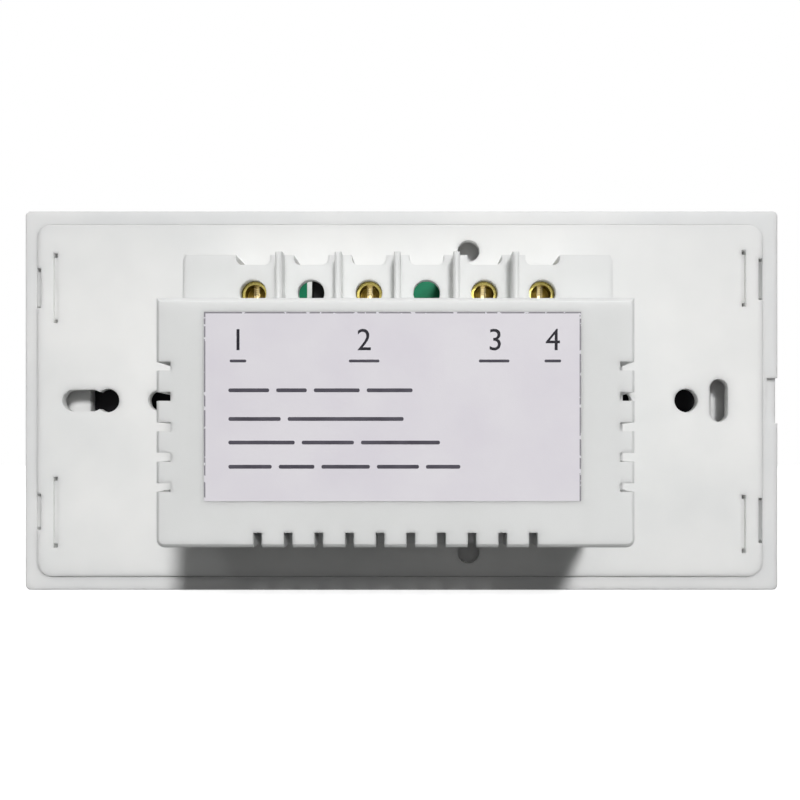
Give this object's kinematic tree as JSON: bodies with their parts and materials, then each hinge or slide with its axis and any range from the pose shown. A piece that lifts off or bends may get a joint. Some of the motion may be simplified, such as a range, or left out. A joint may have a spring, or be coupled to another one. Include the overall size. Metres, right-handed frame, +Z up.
{
  "type": "touch light switch",
  "caption": "Touch light switch for a wall box: a glass panel that snaps over a mounting plate, with a rear housing that holds the relays, the power board and screw terminals.",
  "frame": {"origin": "middle of the plane on which the mounting plate lies on the wall", "axes": "+X along the long side, +Y into the wall, +Z up; the glass faces -Y"},
  "size_m": [0.146, 0.0401, 0.0734],
  "materials": {
    "glass": "polished",
    "black_print": "opaque back print",
    "white_plastic": "fine satin moulding",
    "circuit_green": "solder mask",
    "foam": "conductive foam",
    "light_guide": "translucent",
    "adhesive": "foam tape",
    "tin_steel": "tinned",
    "black_plastic": "moulded",
    "gold_pins": "plated",
    "label_paper": "matte film",
    "zinc_steel": "zinc plated",
    "brass": "bright turned",
    "relay_blue": "moulded",
    "ferrite": "ground",
    "tape_yellow": "tape",
    "capacitor_sleeve": "shrink sleeve",
    "copper_wire": "enamelled",
    "varistor_blue": "dipped"
  },
  "bodies": {
    "base": {"mounting_plate": "white_plastic", "rear_housing": "white_plastic", "label": "label_paper", "inner_cover": "white_plastic", "cover_screws": "zinc_steel", "power_board": "circuit_green", "socket": "black_plastic", "terminal_cages": "brass", "relay_bases": "black_plastic", "relay_cases": "relay_blue", "transformer_core": "ferrite", "transformer_bobbin": "black_plastic", "transformer_winding": "tape_yellow", "capacitors": "capacitor_sleeve", "choke_core": "ferrite", "choke_winding": "copper_wire", "varistor": "varistor_blue", "fuse": "black_plastic", "bridge_rectifier": "black_plastic", "power_chip": "black_plastic"},
    "front_panel": {"glass_panel": "glass", "back_film": "black_print", "panel_frame": "white_plastic", "touch_board": "circuit_green", "touch_pads": "foam", "light_rings": "light_guide", "adhesive_strips": "adhesive", "radio_board": "circuit_green", "radio_can": "tin_steel", "touch_chip": "black_plastic", "plug_block": "black_plastic", "plug_pins": "gold_pins"},
    "clamp_1": {"clamp_plate_1": "zinc_steel"},
    "screw_1": {"terminal_screw_1": "brass"},
    "clamp_3": {"clamp_plate_3": "zinc_steel"},
    "screw_3": {"terminal_screw_3": "brass"},
    "clamp_5": {"clamp_plate_5": "zinc_steel"},
    "screw_5": {"terminal_screw_5": "brass"},
    "clamp_6": {"clamp_plate_6": "zinc_steel"},
    "screw_6": {"terminal_screw_6": "brass"}
  },
  "joints": [
    {"name": "panel_release", "type": "slide", "parent": "base", "child": "front_panel", "axis": [0, -1, 0], "range_m": [0, 0.025]},
    {"name": "clamp_1_travel", "type": "slide", "parent": "base", "child": "clamp_1", "axis": [0, -1, 0], "range_m": [-0.0014, 0.0014]},
    {"name": "screw_1_turn", "type": "hinge", "parent": "clamp_1", "child": "screw_1", "pos_m": [0.0254, 0.0114, 0.0181], "axis": [0, -1, 0], "range_deg": [-721, 721]},
    {"name": "clamp_3_travel", "type": "slide", "parent": "base", "child": "clamp_3", "axis": [0, -1, 0], "range_m": [-0.0014, 0.0014]},
    {"name": "screw_3_turn", "type": "hinge", "parent": "clamp_3", "child": "screw_3", "pos_m": [0.00508, 0.0114, 0.0181], "axis": [0, -1, 0], "range_deg": [-721, 721]},
    {"name": "clamp_5_travel", "type": "slide", "parent": "base", "child": "clamp_5", "axis": [0, -1, 0], "range_m": [-0.0014, 0.0014]},
    {"name": "screw_5_turn", "type": "hinge", "parent": "clamp_5", "child": "screw_5", "pos_m": [-0.01524, 0.0114, 0.0181], "axis": [0, -1, 0], "range_deg": [-721, 721]},
    {"name": "clamp_6_travel", "type": "slide", "parent": "base", "child": "clamp_6", "axis": [0, -1, 0], "range_m": [-0.0014, 0.0014]},
    {"name": "screw_6_turn", "type": "hinge", "parent": "clamp_6", "child": "screw_6", "pos_m": [-0.0254, 0.0114, 0.0181], "axis": [0, -1, 0], "range_deg": [-721, 721]}
  ],
  "couplings": [
    {"joint": "screw_1_turn", "follows": "clamp_1_travel", "rad_per_m": 8976},
    {"joint": "screw_3_turn", "follows": "clamp_3_travel", "rad_per_m": 8976},
    {"joint": "screw_5_turn", "follows": "clamp_5_travel", "rad_per_m": 8976},
    {"joint": "screw_6_turn", "follows": "clamp_6_travel", "rad_per_m": 8976}
  ]
}
